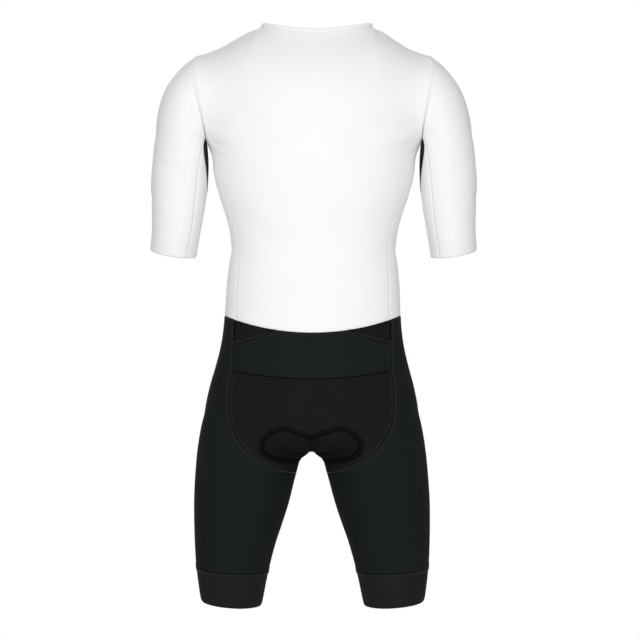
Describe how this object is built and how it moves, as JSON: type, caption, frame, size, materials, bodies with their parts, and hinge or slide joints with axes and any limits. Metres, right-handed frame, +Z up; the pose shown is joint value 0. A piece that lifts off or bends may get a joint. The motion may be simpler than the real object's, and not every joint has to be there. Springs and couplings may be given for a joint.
{
  "type": "triathlon suit",
  "caption": "Short-sleeved knee-length one-piece suit: white knit upper, black lower with a rear pocket, seat panel, pad and elastic leg hems.",
  "frame": {"origin": "middle of the neck opening at the height of the two neck points", "axes": "+Z up, the front of the suit faces -Y, the wearer's left is +X"},
  "size_m": [0.528, 0.2156, 0.9253],
  "materials": {
    "white_knit": "smooth white stretch knit",
    "grey_knit": "thin pale grey knit",
    "dark_mesh": "dark open mesh",
    "black_knit": "black stretch knit, faint sheen",
    "matte_black_knit": "matte black textured knit",
    "black_elastic": "black elastic band",
    "pad_foam": "soft brushed pad",
    "tape_white": "woven zip tape",
    "zip_metal": "satin metal"
  },
  "bodies": {
    "root": {"back_panel": "white_knit", "front_left": "white_knit", "front_right": "white_knit", "side_left": "white_knit", "side_right": "white_knit", "neck_binding": "white_knit", "zip_tape": "tape_white", "sleeve_left": "white_knit", "sleeve_right": "white_knit", "undersleeve_left": "grey_knit", "undersleeve_right": "grey_knit", "gusset_left": "dark_mesh", "gusset_right": "dark_mesh", "seat_panel": "matte_black_knit", "chamois_pad": "pad_foam", "leg_left": "black_knit", "leg_right": "black_knit", "gripper_left": "black_elastic", "gripper_right": "black_elastic", "pocket_panel": "black_knit", "pocket_binding_left": "black_knit", "pocket_binding_right": "black_knit", "back_yoke": "matte_black_knit", "zip_slider": "zip_metal"},
    "pull": {"zip_pull": "zip_metal"}
  },
  "joints": [
    {"name": "pull_swing", "type": "hinge", "parent": "root", "child": "pull", "pos_m": [0.00169, -0.09167, -0.10224], "axis": [-1, 0, 0], "range_deg": [0, 150]}
  ]
}
